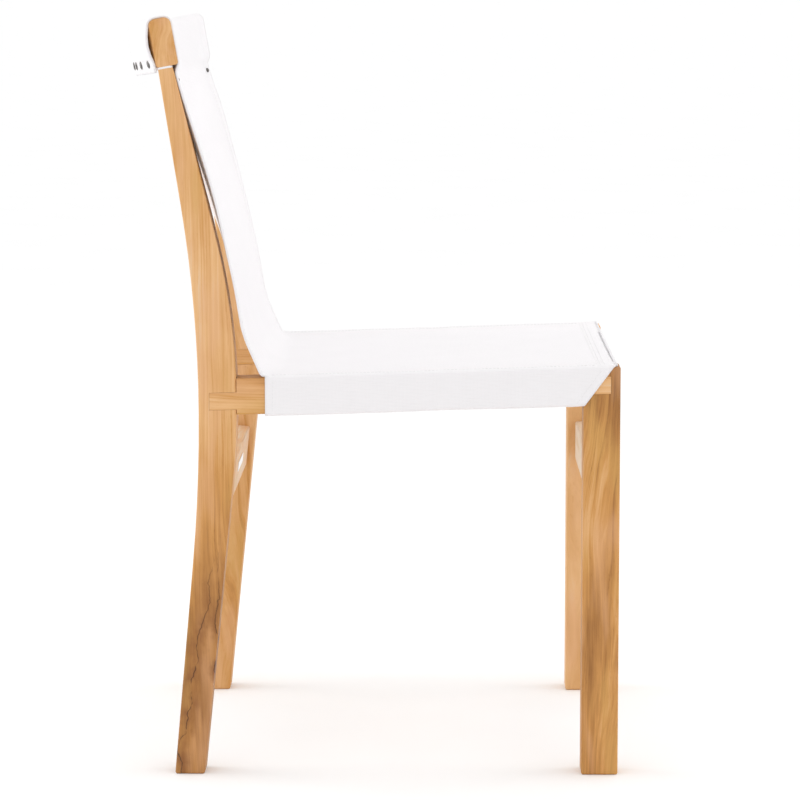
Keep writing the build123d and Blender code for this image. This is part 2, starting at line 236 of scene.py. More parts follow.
def teak(name, grain, seed, pith, tone, painted_shading=even, lean=0.03, figure=1.0, cracks=()):
    """Sawn and oiled teak, solid through the piece.

    grain is the axis that the fibres follow, and pith is where the tree's centre lies across them.
    tone makes the board paler or darker, and painted_shading (from, to, change) changes that along
    the grain as painted light and shade.
    lean tilts the fibres, which opens the figure, and figure is the strength of its contrast.
    Each crack is (place across, place along, drift per millimetre, half width of its dark stain).
    """
    shader = Shader(name)
    axes = shader.node("SeparateXYZ", {0: shader.place()}).outputs
    order = {"X": (1, 2, 0), "Y": (0, 2, 1), "Z": (0, 1, 2)}[grain]
    across, other, along = (axes[i] for i in order)
    shift = [offset * seed for offset in (37.0, 53.0, 219.0)]

    def cells(first, second, sizes, offset):
        """Noise coordinates whose cells have about those sizes, the last one along the grain."""
        parts = {}
        for i, axis in enumerate((first, second, along)):
            parts[i] = shader.math("MULTIPLY_ADD", axis, 1 / sizes[i], shift[i] + offset)
        return shader.node("CombineXYZ", parts).outputs[0]

    # Growth rings: cones about a pith outside the board, pushed about by slow drift
    drift = shader.noise(cells(across, other, (52.0, 52.0, 250.0), 0.0), 2.0, 0.4, colour=True)
    drift = shader.vector("SUBTRACT", drift, (0.5, 0.5, 0.5))
    drift = shader.node("SeparateXYZ", {0: shader.vector("SCALE", drift, 30.0)}).outputs
    ring_across = shader.math("ADD", shader.math("SUBTRACT", across, pith[0]), drift[0])
    ring_across = shader.math("MULTIPLY_ADD", along, lean, ring_across)
    ring_other = shader.math("ADD", shader.math("SUBTRACT", other, pith[1]), drift[1])
    flat = shader.node("CombineXYZ", {0: ring_across, 1: ring_other, 2: 0.0}).outputs[0]
    radius = shader.vector("LENGTH", flat)
    around = shader.math("MULTIPLY", shader.math("ARCTAN2", ring_other, ring_across), 110.0)

    def fibres(radial, tangent, long, offset, detail=2.0, roughness=0.5):
        """Noise that follows the rings: cells of that size out from the pith, round it and along."""
        place = cells(radius, around, (radial, tangent, long), offset)
        return shader.noise(place, detail, roughness)

    uneven = fibres(13.0, 60.0, 260.0, 3.1)
    rings = shader.math("MULTIPLY_ADD", uneven, 2.2, shader.math("MULTIPLY", radius, 1 / 5.2))
    phase = shader.math("FRACT", rings)
    start = shader.spread(phase, 0.0, 0.12)
    finish = shader.spread(phase, 0.70, 1.0, 1.0, 0.0)
    ring_line = shader.math("SUBTRACT", 1.0, shader.math("MULTIPLY", start, finish))
    fading = shader.spread(fibres(17.0, 34.0, 150.0, 7.7), 0.44, 0.66)
    ring_line = shader.math("MULTIPLY", ring_line, fading)

    # Bands, streaks, hairs, clouds and pores
    bands = fibres(15.0, 60.0, 480.0, 11.0)
    streaks = fibres(3.0, 13.0, 210.0, 13.0, 3.0, 0.6)
    fine = fibres(0.9, 5.0, 75.0, 17.0, 2.0, 0.6)
    clouds = shader.noise(cells(across, other, (34.0, 34.0, 105.0), 23.0), 3.0, 0.5)
    blush = shader.noise(cells(across, other, (26.0, 26.0, 120.0), 29.0), 2.0)
    pores = shader.spread(fibres(0.55, 0.9, 8.0, 31.0, 1.0), 0.60, 0.72)
    pores = shader.math("MULTIPLY", pores, shader.math("MULTIPLY_ADD", ring_line, 0.75, 0.25))

    layers = ((bands, 0.60), (streaks, 0.62), (fine, 0.32), (clouds, 0.62))
    value = -sum(share for _, share in layers) / 2
    for layer, share in layers:
        value = shader.math("MULTIPLY_ADD", layer, share, value)
    value = shader.math("MULTIPLY_ADD", ring_line, -0.18, value)
    value = shader.math("MULTIPLY_ADD", pores, -0.22, value)
    value = shader.math("MULTIPLY_ADD", value, figure, 0.5 + tone)
    # Painted light and shade: the board paler or darker along its grain, standing in for how light
    # falls on it
    value = shader.math("ADD", value, shader.spread(along, painted_shading[0], painted_shading[1], 0.0, painted_shading[2]))
    stops = [
        (0.08, teak_dark),
        (0.32, teak_brown),
        (0.53, teak_gold),
        (0.78, teak_pale),
        (1.00, teak_bleached),
    ]
    colour = shader.ramp(value, stops)
    pinkness = shader.spread(blush, 0.50, 0.70, 0.0, 0.40)
    colour = shader.mix(pinkness, colour, (*teak_pink, 1.0))
    oliveness = shader.spread(blush, 0.30, 0.48, 0.38, 0.0)
    colour = shader.mix(oliveness, colour, (*teak_olive, 1.0))

    # Cracks that wander along the grain, each in a ragged brown stain
    wide_swing = 26.0
    small_swing = 5.0
    crack_top = (150.0, 285.0)  # along the grain: where the cracks start and finish fading out
    for number, (middle_place, along_place, slope, stain_half) in enumerate(cracks):
        wide_bends = shader.noise(cells(across, other, (90.0, 90.0, 34.0), 41.0 + number), 2.0)
        small_bends = shader.noise(cells(across, other, (12.0, 12.0, 7.0), 43.0 + number), 3.0)
        off = shader.math("MULTIPLY_ADD", along, -slope, slope * along_place - middle_place)
        off = shader.math("ADD", off, other)
        off = shader.math("MULTIPLY_ADD", shader.math("SUBTRACT", wide_bends, 0.5), wide_swing, off)
        off = shader.math("MULTIPLY_ADD", shader.math("SUBTRACT", small_bends, 0.5), small_swing, off)
        off = shader.math("ABSOLUTE", off)
        patches = shader.noise(cells(across, other, (16.0, 16.0, 30.0), 47.0 + number), 3.0, 0.6)
        near_floor = shader.spread(along, *crack_top, 1.0, 0.0)
        stain = shader.spread(off, 0.0, stain_half, 1.0, 0.0)
        stain = shader.math("MULTIPLY", stain, shader.spread(patches, 0.35, 0.65, 0.15, 0.85))
        colour = shader.mix(shader.math("MULTIPLY", stain, near_floor), colour, (*teak_stain, 1.0))
        crack = shader.spread(off, 0.15, 0.95, 1.0, 0.0)
        crack = shader.math("MULTIPLY", crack, shader.spread(patches, 0.38, 0.48, 0.1, 0.9))
        colour = shader.mix(shader.math("MULTIPLY", crack, near_floor), colour, (*teak_crack, 1.0))

    relief = shader.math("MULTIPLY_ADD", ring_line, -0.5, shader.math("MULTIPLY", fine, 0.8))
    relief = shader.math("MULTIPLY_ADD", pores, -1.0, relief)
    normal = shader.bump(relief, 0.10, 0.4)
    roughness = shader.spread(streaks, 0.2, 0.8, 0.62, 0.50)
    return shader.surface(
        base_color=colour,
        roughness=roughness,
        normal=normal,
        specular_ior_level=0.32,
    )


def sling_cloth(name, cut=True):
    """White outdoor sling cloth: a fine basket weave, which follows the cut of the sheet."""
    shader = Shader(name)
    pitch = 1.5
    pattern = shader.place()
    if cut:
        pattern = shader.node("Attribute", attribute_name="pattern").outputs["Vector"]
        pattern = shader.vector("SCALE", pattern, 1 / MM)
    wobble = shader.noise(shader.vector("SCALE", pattern, 0.11), detail=2.0, colour=True)
    wobble = shader.vector("SCALE", shader.vector("SUBTRACT", wobble, (0.5, 0.5, 0.5)), 0.8)
    threads = shader.vector("SCALE", shader.vector("ADD", pattern, wobble), pi / pitch)
    warp, weft, _ = shader.node("SeparateXYZ", {0: threads}).outputs
    warp_wave = shader.math("SINE", warp)
    weft_wave = shader.math("SINE", weft)
    over = shader.math("MULTIPLY_ADD", shader.math("MULTIPLY", warp_wave, weft_wave), 0.5, 0.5)
    under = shader.math("SUBTRACT", 1.0, over)
    warp_round = shader.math("POWER", shader.math("ABSOLUTE", warp_wave), 0.6)
    weft_round = shader.math("POWER", shader.math("ABSOLUTE", weft_wave), 0.6)
    height = shader.math(
        "MAXIMUM",
        shader.math("MULTIPLY", warp_round, over),
        shader.math("MULTIPLY", weft_round, under),
    )
    slubs = shader.noise(shader.vector("MULTIPLY", pattern, (0.9, 0.07, 1.0)), detail=3.0)
    clouds = shader.noise(shader.vector("SCALE", pattern, 0.018), detail=3.0)
    # Painted shade: the hollows of the weave are darker in colour; the slubs and clouds are the
    # yarn's own tone
    value = shader.math("MULTIPLY_ADD", height, 0.42, 0.30)
    value = shader.math("MULTIPLY_ADD", slubs, 0.26, value)
    value = shader.math("MULTIPLY_ADD", clouds, 0.16, value)
    cloth_yarn_and_shade = (0.765, 0.746, 0.757)
    cloth_white = (0.925, 0.905, 0.917)
    colour = shader.ramp(value, [(0.25, cloth_yarn_and_shade), (0.80, cloth_white)])
    relief = shader.math("MULTIPLY_ADD", slubs, 0.5, height)
    return shader.surface(
        glow=0.1,
        base_color=colour,
        roughness=0.82,
        normal=shader.bump(relief, 0.16, 0.6),
        specular_ior_level=0.25,
        sheen_weight=0.25,
        sheen_roughness=0.6,
    )


def thread(name):
    """Twisted white sewing thread."""
    shader = Shader(name)
    place = shader.place()
    plies = shader.noise(shader.vector("SCALE", place, 1.9), detail=3.0, roughness=0.7)
    # Painted shade: the colour follows the plies' relief, so the grooves between them are darker
    colour = shader.ramp(plies, [(0.3, (0.74, 0.73, 0.735)), (0.75, (0.90, 0.885, 0.89))])
    return shader.surface(
        base_color=colour,
        roughness=0.55,
        normal=shader.bump(plies, 0.12, 0.5),
        sheen_weight=0.3,
    )


def metal(name, dark, light, rough_low, rough_high):
    """Brushed metal with fine scratches and a little tarnish."""
    shader = Shader(name)
    place = shader.place()
    brushed = shader.noise(shader.vector("MULTIPLY", place, (0.7, 2.2, 5.0)), detail=3.0)
    tarnish = shader.noise(shader.vector("SCALE", place, 0.35), detail=3.0)
    value = shader.math("MULTIPLY_ADD", tarnish, 0.7, shader.math("MULTIPLY", brushed, 0.3))
    colour = shader.ramp(value, [(0.3, dark), (0.7, light)])
    roughness = shader.spread(brushed, 0.3, 0.7, rough_low, rough_high)
    return shader.surface(
        base_color=colour,
        roughness=roughness,
        metallic=1.0,
        normal=shader.bump(brushed, 0.03, 0.4),
    )


def floor_paint(name):
    """Plain pale studio floor."""
    shader = Shader(name)
    mottle = shader.noise(shader.vector("SCALE", shader.place(), 0.004), detail=2.0)
    colour = shader.ramp(mottle, [(0.3, (0.925, 0.925, 0.925)), (0.7, (0.94, 0.94, 0.94))])
    return shader.surface(base_color=colour, roughness=0.9, specular_ior_level=0.1)


# ---------------------------------------------------------------- sling surface


def seat_line(behind):
    """Height of the top of the side rails."""
    return seat_line_front - seat_slope * behind


def smooth_step(value):
    value = np.clip(value, 0.0, 1.0)
    return value * value * (3 - 2 * value)


def arc_bow(x, half, bow):
    """How far a shallow arc of that bow stands behind the line between its ends."""
    radius = (half**2 + bow**2) / (2 * bow)
    return np.sqrt(radius**2 - x**2) - (radius - bow)


def tilted(back, up):
    """(behind, z) of a point back and up from the crest rail's ends, square to its tilt."""
    behind = crest_end_behind + back * cos(crest_tilt) + up * sin(crest_tilt)
    return behind, crest_end_z - back * sin(crest_tilt) + up * cos(crest_tilt)


def crest_point(x, out, up):
    """(behind, z) of a point beside the crest rail's middle line."""
    return tilted(np.sqrt((crest_radius + out) ** 2 - x**2) - (crest_radius - crest_bow), up)


def sling_outline(x):
    """The sling's cross-section at x: from the seat's front edge, over the crest, to the back hem."""
    seat = [seat_front, seat_end, seat_end + bend_run]
    points = [(behind, seat_line(behind) + middle) for behind in seat]
    points.append(bend_point)
    for z, behind, bow in back_sections:
        points.append((behind - cad_cloth / 2 + arc_bow(x, back_half, bow), z))
    tuck = tuck_end - cad_cloth / 2 + arc_bow(x, back_half, tuck_bow)
    points.append(tilted(tuck, -crest_height / 2 - tuck_below))

    face = crest_depth / 2 + middle
    top = crest_height / 2 + middle
    corner = crest_top_round + middle
    turns = np.linspace(0, pi / 2, 7)
    points.append(crest_point(x, -face, -crest_height / 2))
    for turn in turns:
        out = -face + corner * (1 - cos(turn))
        points.append(crest_point(x, out, top - corner * (1 - sin(turn))))
    for turn in turns[::-1]:
        out = face - corner * (1 - cos(turn))
        points.append(crest_point(x, out, top - corner * (1 - sin(turn))))

    # The back of the sleeve stands a little off the wood, most at its ends
    loose = 1.2 + 2.4 * smooth_step((abs(x) - 150) / 80)
    hang = crest_height / 2 + sleeve_back_drop
    for share in (0.2, 0.4, 0.6, 0.8, 1.0):
        up = (top - corner) + share * (-hang - (top - corner))
        points.append(crest_point(x, face + loose * sin(pi * min(share / 0.8, 1.0)), up))
    return np.array(points)


def path_lengths(points):
    """Distance along a path at each of its points."""
    steps = np.hypot(*np.diff(points, axis=0).T)
    return np.concatenate([[0.0], np.cumsum(steps)])


mid_lengths = path_lengths(sling_outline(0.0))
sling_length = mid_lengths[-1]
v_seat_end = mid_lengths[1]
v_back_start = mid_lengths[4]
v_tuck = mid_lengths[4 + len(back_sections)]
v_crest = mid_lengths[5 + len(back_sections)]


def softening(x):
    """(place along the sling, half the length over which its outline is rounded off there)."""
    open_bend = 5.0 + 17.0 * smooth_step((back_half - abs(x)) / 90)
    return np.array(
        [
            (0.0, 0.4),
            (v_seat_end - 60, 4.0),
            (v_seat_end, open_bend),
            (v_back_start, open_bend),
            (v_back_start + 60, 20.0),
            (v_tuck - 14, 9.0),
            (v_tuck, 2.2),
            (v_crest, 1.6),
            (sling_length - 2, 1.5),
            (sling_length, 0.4),
        ]
    )


def ripple(along, across, seed):
    """A smooth irregular wave, from -1 to 1."""
    waves = (
        np.sin(along / 9.7 + 1.3 * seed + across / 31)
        + 0.8 * np.sin(along / 15.1 + 2.1 * seed - across / 43)
        + 0.6 * np.sin(along / 5.9 + 0.7 * seed + across / 19)
    )
    return waves / 2.4


def sling_rest(x, v):
    """(behind, z) at x for places v along the sling, before any slackness."""
    outline = sling_outline(x)
    fine = np.arange(0.0, sling_length + 0.25, 0.25)
    behind = np.interp(fine, mid_lengths, outline[:, 0])
    height = np.interp(fine, mid_lengths, outline[:, 1])
    windows = softening(x)
    half = np.interp(v, windows[:, 0], windows[:, 1])
    low = np.clip(v - half, 0.0, sling_length)
    high = np.clip(v + half, 0.0, sling_length)
    sides = []
    for values in (behind, height):
        sums = np.concatenate([[0.0], np.cumsum((values[1:] + values[:-1]) / 2 * np.diff(fine))])
        sides.append((np.interp(high, fine, sums) - np.interp(low, fine, sums)) / (high - low))
    return sides


def grade(start, end, step, fine_places):
    """Places from start to end about a step apart, with close ones where a hem's edge falls."""
    fine_step = hem_step / 3
    places = set(np.linspace(start, end, int(round((end - start) / step)) + 1))
    for place in fine_places:
        for offset in (-2, -1, 0, 1, 2):
            near = place + offset * fine_step
            if start < near < end:
                places.add(near)
    ordered = sorted(places)
    kept = [ordered[0]]
    for place in ordered[1:]:
        if place - kept[-1] > 0.35 * fine_step:
            kept.append(place)
    kept[-1] = end
    return np.array(kept)


class Patch:
    """Part of the sheet: points over a grid of pattern coordinates u (across) and v (along)."""

    def __init__(self, u, v, points, weights):
        self.u = u
        self.v = v
        self.points = points
        self.weights = weights

    def at(self, u, v):
        """Point, outward normal and half thickness at one place of the pattern."""
        i = int(np.clip(np.searchsorted(self.u, u) - 1, 0, len(self.u) - 2))
        j = int(np.clip(np.searchsorted(self.v, v) - 1, 0, len(self.v) - 2))
        s = (u - self.u[i]) / (self.u[i + 1] - self.u[i])
        t = (v - self.v[j]) / (self.v[j + 1] - self.v[j])
        corners = self.points[j : j + 2, i : i + 2]
        low = corners[0, 0] * (1 - s) + corners[0, 1] * s
        high = corners[1, 0] * (1 - s) + corners[1, 1] * s
        left = corners[0, 0] * (1 - t) + corners[1, 0] * t
        right = corners[0, 1] * (1 - t) + corners[1, 1] * t
        normal = np.cross(right - left, high - low)
        weight = self.weights[j : j + 2, i : i + 2].mean()
        half = (thin + (thick - thin) * weight) / 2
        return low * (1 - t) + high * t, normal / np.linalg.norm(normal), half


def hem_weight(distance, width):
    """1 on a hem of that width and 0 beyond it, for a distance from the cloth's edge."""
    return 1 - smooth_step((distance - width + hem_step / 2) / hem_step)


def main_patch():
    """Seat, back and sleeve: the strip between the two seat edges."""
    columns = grade(0.0, back_half, 5.0, [back_half - side_hem])
    u = np.concatenate([-columns[:0:-1], columns])
    seat_rows = grade(flap_corner - seat_front, v_seat_end, 4.6, [front_hem])
    rest = grade(v_seat_end, sling_length, 3.4, [sling_length - back_hem])
    v = np.concatenate([[0.0, 1.4, 3.0], seat_rows, rest[1:]])

    points = np.zeros((len(v), len(u), 3))
    for i, x in enumerate(u):
        behind, height = sling_rest(x, v)
        points[:, i, 0] = x
        points[:, i, 1] = front_y + behind
        points[:, i, 2] = height

    across, along = np.meshgrid(u, v)
    edge = back_half - np.abs(across)
    on_seat = 1 - smooth_step((along - v_seat_end + 30) / 60)
    on_back = smooth_step((along - v_back_start) / 80) * smooth_step((v_crest - along) / 60)
    slack = 3.0 * np.sqrt(np.clip(1 - (across / back_half) ** 2, 0, 1))
    slack *= smooth_step(along / 120 + 0.35)
    points[:, :, 2] -= on_seat * slack
    tucks = 0.55 * ripple(along, across, 1.0) * np.exp(-edge / 16) * smooth_step(edge / 3)
    tucks += 0.35 * ripple(along / 2.6, across / 2, 4.0) * np.exp(-edge / 60)
    points[:, :, 2] += on_seat * tucks
    points[:, :, 1] += on_back * 1.1 * ripple(along / 4.5, across / 1.6, 2.0)
    gathers = np.exp(-(((along - v_crest + 14) / 16) ** 2))
    points[:, :, 1] -= 0.5 * gathers * ripple(across / 1.7, along, 3.0)

    ends = np.maximum(hem_weight(along, front_hem), hem_weight(sling_length - along, back_hem))
    beside = hem_weight(edge, side_hem) * smooth_step((along - v_seat_end) / 3)
    return Patch(u, v, points, np.maximum(ends, beside))


def flap_section():
    """A flap's cross-section: down a rail, under it and up its inner face.

    Gives each point's distance from the fold, and (across the chair, height over the seat line).
    """
    inner = leg_low[0] - middle
    outer = sling_half - cad_cloth / 2
    bottom = rail_height + middle
    radius = fold_radius
    points = []
    turns = np.linspace(0, pi / 2, 6)
    for turn in turns:
        points.append((back_half + radius * sin(turn), middle - radius * (1 - cos(turn))))
    drop = -bottom + radius
    for turn in turns:
        points.append((outer - radius * (1 - cos(turn)), drop - radius * sin(turn)))
    for turn in turns:
        points.append((inner + radius * (1 - sin(turn)), drop - radius * cos(turn)))
    points.append((inner, -bottom - cad_cloth / 2 + flap_inner_height))
    points = np.array(points)
    return path_lengths(points), points


section_lengths, section_points = flap_section()
flap_length = section_lengths[-1]
h_outer_end = section_lengths[6]
h_under_start = section_lengths[11]
h_inner_start = section_lengths[17]


def flap_start(h):
    """Where the flap's front edge lies, behind, at a distance h from the fold."""
    slant = flap_corner + (flap_low_corner - flap_corner) * h / h_under_start
    under = flap_under_start + 0 * h
    return np.where(h < h_under_start, slant, under)


def flap_patch(side, rows, edge_points):
    """The flap on one side, joined to the seat's edge along the fold."""
    straight = np.arange(h_outer_end - 31.0, h_outer_end, 4.4)
    under = np.arange(h_under_start + 4.5, section_lengths[12], 4.5)
    inner = np.arange(h_inner_start + 4.0, flap_length, 4.0)
    h = np.unique(np.concatenate([section_lengths, straight, under, inner]).round(3))
    h = h[np.concatenate([[True], np.diff(h) > 0.5])]
    out = np.interp(h, section_lengths, section_points[:, 0])
    height = np.interp(h, section_lengths, section_points[:, 1])

    share = (rows - rows[0]) / (rows[-1] - rows[0])
    starts = flap_start(h)
    behind = starts[None, :] + share[:, None] * (seat_end - starts[None, :])
    points = np.zeros((len(rows), len(h), 3))
    points[:, :, 0] = side * out[None, :]
    points[:, :, 1] = front_y + behind
    points[:, :, 2] = seat_line(behind) + height[None, :]

    # Slight slackness: the outer strip stands off in soft ripples below the fold
    on_outer = smooth_step(h / 6) * (1 - smooth_step((h - h_outer_end + 5) / 8))
    depth = h[None, :] + 0 * behind
    puff = 0.45 + 0.40 * ripple(behind / 2.4, depth, 5.0 + side)
    puff += 0.35 * ripple(behind, depth / 2, 6.0 + side) * np.exp(-depth / 9)
    ends = smooth_step((behind - starts[None, :]) / 18) * smooth_step((seat_end - behind) / 14)
    points[:, :, 0] += side * on_outer[None, :] * puff * ends
    sway = 0.5 * ripple(behind / 3.1, depth, 8.0 + side)
    near_bottom = smooth_step((h - h_outer_end + 10) / 10)
    points[:, :, 2] -= near_bottom[None, :] * ends * (0.5 + sway)
    points[:, 0] = edge_points

    slant_share = (flap_low_corner - flap_corner) / h_under_start
    front_gap = (behind - starts[None, :]) / np.hypot(1.0, slant_share)
    weights = np.maximum(hem_weight(front_gap, flap_hem), hem_weight(seat_end - behind, flap_hem))
    weights = np.maximum(weights, hem_weight(flap_length - depth, 0.55 * flap_inner_height))
    if side < 0:
        points = points[:, ::-1]
        weights = weights[:, ::-1]
        return Patch(-back_half - h[::-1], rows, points, weights)
    return Patch(back_half + h, rows, points, weights)


def make_mesh(name, vertices, faces):
    """A mesh object from points in millimetres."""
    mesh = bpy.data.meshes.new(name)
    mesh.from_pydata((np.asarray(vertices) * MM).tolist(), [], faces)
    mesh.validate()
    mesh.update()
    made = bpy.data.objects.new(name, mesh)
    bpy.context.scene.collection.objects.link(made)
    mesh.polygons.foreach_set("use_smooth", [True] * len(mesh.polygons))
    return made


def grid_faces(numbers):
    """Quads over a grid of vertex numbers."""
    faces = []
    for j in range(numbers.shape[0] - 1):
        for i in range(numbers.shape[1] - 1):
            corners = (numbers[j, i], numbers[j, i + 1], numbers[j + 1, i + 1], numbers[j + 1, i])
            faces.append([int(n) for n in corners])
    return faces


main = main_patch()
first_row = 3  # of the flaps: the rows before it are the seat's front corner
last_row = int(np.argmin(np.abs(main.v - v_seat_end)))
flap_rows = main.v[first_row : last_row + 1]
flaps = {
    1: flap_patch(1, flap_rows, main.points[first_row : last_row + 1, -1]),
    -1: flap_patch(-1, flap_rows, main.points[first_row : last_row + 1, 0]),
}


def make_sling():
    """The whole sling as one sheet, whose flaps share the vertices of the seat's edges."""
    rows, columns = main.points.shape[:2]
    numbers = np.arange(rows * columns).reshape(rows, columns)
    vertices = [main.points.reshape(-1, 3)]
    weights = [main.weights.reshape(-1)]
    across, along = np.meshgrid(main.u, main.v)
    pattern = [np.stack([across, along], -1).reshape(-1, 2)]
    faces = grid_faces(numbers)
    count = rows * columns
    for side, flap in flaps.items():
        fold = numbers[first_row : last_row + 1, -1 if side > 0 else 0]
        inside = slice(1, None) if side > 0 else slice(0, -1)
        points = flap.points[:, inside]
        own = count + np.arange(points.shape[0] * points.shape[1]).reshape(points.shape[:2])
        count += own.size
        joined = [fold[:, None], own] if side > 0 else [own, fold[:, None]]
        faces += grid_faces(np.concatenate(joined, axis=1))
        vertices.append(points.reshape(-1, 3))
        weights.append(flap.weights[:, inside].reshape(-1))
        behind = points[:, :, 1] - front_y - seat_front
        across = np.broadcast_to(flap.u[inside], behind.shape)
        pattern.append(np.stack([across, behind], -1).reshape(-1, 2))

    sling = make_mesh("sling", np.concatenate(vertices), faces)
    cut = np.zeros((count, 3))
    cut[:, :2] = np.concatenate(pattern)
    layer = sling.data.attributes.new("pattern", "FLOAT_VECTOR", "POINT")
    layer.data.foreach_set("vector", (cut * MM).astype(np.float32).ravel())
    group = sling.vertex_groups.new(name="hems")
    for number, weight in enumerate(np.concatenate(weights)):
        if weight > 0.001:
            group.add([number], float(weight), "REPLACE")
    solid = sling.modifiers.new("cloth", "SOLIDIFY")
    solid.thickness = thick * MM
    solid.offset = 0.0
    solid.vertex_group = "hems"
    solid.thickness_vertex_group = thin / thick
    solid.use_rim = True
    sling.data.materials.append(sling_cloth("sling_cloth"))
    flat_area = 0.0
    for patch in (main, *flaps.values()):
        sides = np.diff(patch.v)[:, None] * np.diff(patch.u)[None, :]
        flat_area += float(sides.sum())
    # The cloth that is cut away in front of each flap
    lost = (flap_low_corner - flap_corner) / 2 * h_under_start
    lost += (flap_under_start - flap_corner) * (flap_length - h_under_start)
    return sling, (flat_area - 2 * lost) * MM**2


# ---------------------------------------------------------------- stitching


def stitch_shape():
    """A low-sided stitch along X, one unit long and one unit thick."""
    stations = [(-0.5, 0.0), (-0.44, 0.55), (-0.2, 1.0), (0.2, 1.0), (0.44, 0.55), (0.5, 0.0)]
    sides = 6
    vertices = []
    for x, swell in stations[1:-1]:
        for i in range(sides):
            angle = 2 * pi * i / sides
            vertices.append((x, swell * cos(angle) / 2, swell * sin(angle) / 2))
    vertices += [(stations[0][0], 0.0, 0.0), (stations[-1][0], 0.0, 0.0)]
    faces = []
    rings = len(stations) - 2
    for ring in range(rings - 1):
        for i in range(sides):
            j = (i + 1) % sides
            low = ring * sides
            faces.append((low + i, low + j, low + sides + j, low + sides + i))
    start, end = rings * sides, rings * sides + 1
    for i in range(sides):
        j = (i + 1) % sides
        faces.append((start, j, i))
        faces.append((end, (rings - 1) * sides + i, (rings - 1) * sides + j))
    return np.array(vertices), faces


def seam_lines():
    """(patch, path) for each line of stitching; a path is a list of pattern places (u, v)."""
    lines = []
    wide = back_half - seam_inset
    for v in (front_hem - seam_inset, front_hem - 7.5, sling_length - back_hem + 2.5):
        lines.append((main, [(-wide, v), (wide, v)]))
    for side in (-1, 1):
        u = side * (back_half - side_hem + seam_inset)
        lines.append((main, [(u, v_seat_end + 6.0), (u, v_crest - 30.0)]))
        for inset in seam_pair:
            u = side * (back_half - inset)
            lines.append((main, [(u, front_hem + seam_inset), (u, v_seat_end - 4.0)]))
        flap = flaps[side]
        rows = flap.v
        rear = rows[-1] - flap_hem + seam_inset
        lines.append((flap, [(side * (back_half + h), rear) for h in (flap_seam[0], flap_seam[-1])]))
        places = []
        for h in flap_seam:
            start = flap_start(np.array(h))
            gap = (flap_hem - seam_inset) * 1.25
            share = gap / (seat_end - start)
            places.append((side * (back_half + h), rows[0] + share * (rows[-1] - rows[0])))
        lines.append((flap, places))
    return lines


def make_stitches():
    """Every stitch of the sling's hems, as one piece."""
    shape, shape_faces = stitch_shape()
    vertices = []
    faces = []
    for patch, path in seam_lines():
        samples = []
        for (u0, v0), (u1, v1) in zip(path[:-1], path[1:]):
            for share in np.linspace(0, 1, 160)[:-1]:
                samples.append(patch.at(u0 + (u1 - u0) * share, v0 + (v1 - v0) * share))
        samples.append(patch.at(*path[-1]))
        points = np.array([point for point, _, _ in samples])
        normals = np.array([normal for _, normal, _ in samples])
        halves = np.array([half for _, _, half in samples])
        steps = np.linalg.norm(np.diff(points, axis=0), axis=1)
        lengths = np.concatenate([[0.0], np.cumsum(steps)])
        pitch = stitch_length + stitch_gap
        for start in np.arange(0.0, lengths[-1] - stitch_length, pitch):
            ends = []
            for place in (start, start + stitch_length):
                ends.append([np.interp(place, lengths, points[:, k]) for k in range(3)])
            ends = np.array(ends)
            centre_place = start + stitch_length / 2
            normal = np.array([np.interp(centre_place, lengths, normals[:, k]) for k in range(3)])
            normal /= np.linalg.norm(normal)
            lift = np.interp(centre_place, lengths, halves) + 0.12 * stitch_thickness
            along = (ends[1] - ends[0]) / np.linalg.norm(ends[1] - ends[0])
            across = np.cross(normal, along)
            centre = ends.mean(axis=0) + normal * lift
            placed = (
                centre
                + shape[:, :1] * along * stitch_length
                + shape[:, 1:2] * across * stitch_thickness
                + shape[:, 2:] * normal * stitch_thickness
            )
            base = len(vertices)
            vertices.extend(placed)
            faces.extend([tuple(base + n for n in face) for face in shape_faces])
    stitches = make_mesh("sling_stitches", vertices, faces)
    stitches.data.materials.append(thread("sewing_thread"))
    return stitches


sling, sling_area = make_sling()
stitches = make_stitches()
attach(sling, "root")
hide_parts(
    "sling_seat",
    "sling_back",
    "crest_sleeve",
    "seat_flap_left",
    "seat_flap_right",
)
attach(stitches, "root")


# ---------------------------------------------------------------- finishes of the CAD pieces


def dress(node, material):
    """Gives a CAD node its finish."""
    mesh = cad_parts[node].data
    mesh.materials.clear()
    mesh.materials.append(material)


# Long cracks near the floor on the outer face of the right rear post, as teak() takes them
foot_cracks = [
    (front_y + 464.0, 150.0, -0.17, 15.0),
    (front_y + 446.0, 230.0, 0.03, 9.0),
]
# Each board: grain, seed, pith, tone, painted shading, lean, figure and cracks, as teak() takes them
# Painted shade: the right front leg darker towards its top, the rear posts darker towards the floor,
# the right side rail paler towards its front
teak_boards = {
    "front_leg_right": ("Z", 1.0, (-310.0, -330.0), 0.00, (320.0, 440.0, -0.22), 0.05, 0.9),
    "front_leg_left": ("Z", 2.0, (520.0, -190.0), 0.25, even, 0.02, 0.50),
    "rear_post_right": (
        "Z",
        3.0,
        (-310.0, 390.0),
        -0.17,
        (140.0, 480.0, 0.42),
        0.04,
        0.72,
        foot_cracks,
    ),
    "rear_post_left": ("Z", 4.0, (330.0, 120.0), 0.09, (100.0, 480.0, 0.12), 0.04, 0.7),
    "side_rail_right": ("Y", 5.0, (-300.0, 660.0), 0.04, (-215.0, -250.0, 0.18), 0.01, 0.8),
    "side_rail_left": ("Y", 6.0, (260.0, 330.0), 0.10, even, 0.02, 0.8),
    "front_cross_rail": ("X", 7.0, (-440.0, 570.0), 0.62, even, 0.01, 0.55),
    "rear_cross_rail": ("X", 8.0, (440.0, 550.0), 0.42, even, 0.01, 0.6),
    "crest_rail": ("X", 9.0, (650.0, 780.0), 0.10, even, 0.01, 0.55),
    "flap_batten_left": ("Y", 10.0, (230.0, 380.0), 0.1),
    "flap_batten_right": ("Y", 11.0, (-230.0, 380.0), 0.1),
}
for board, (grain, *choices) in teak_boards.items():
    dress(board, teak("teak_" + board, grain, *choices))
pad_cloth = sling_cloth("pad_cloth", cut=False)

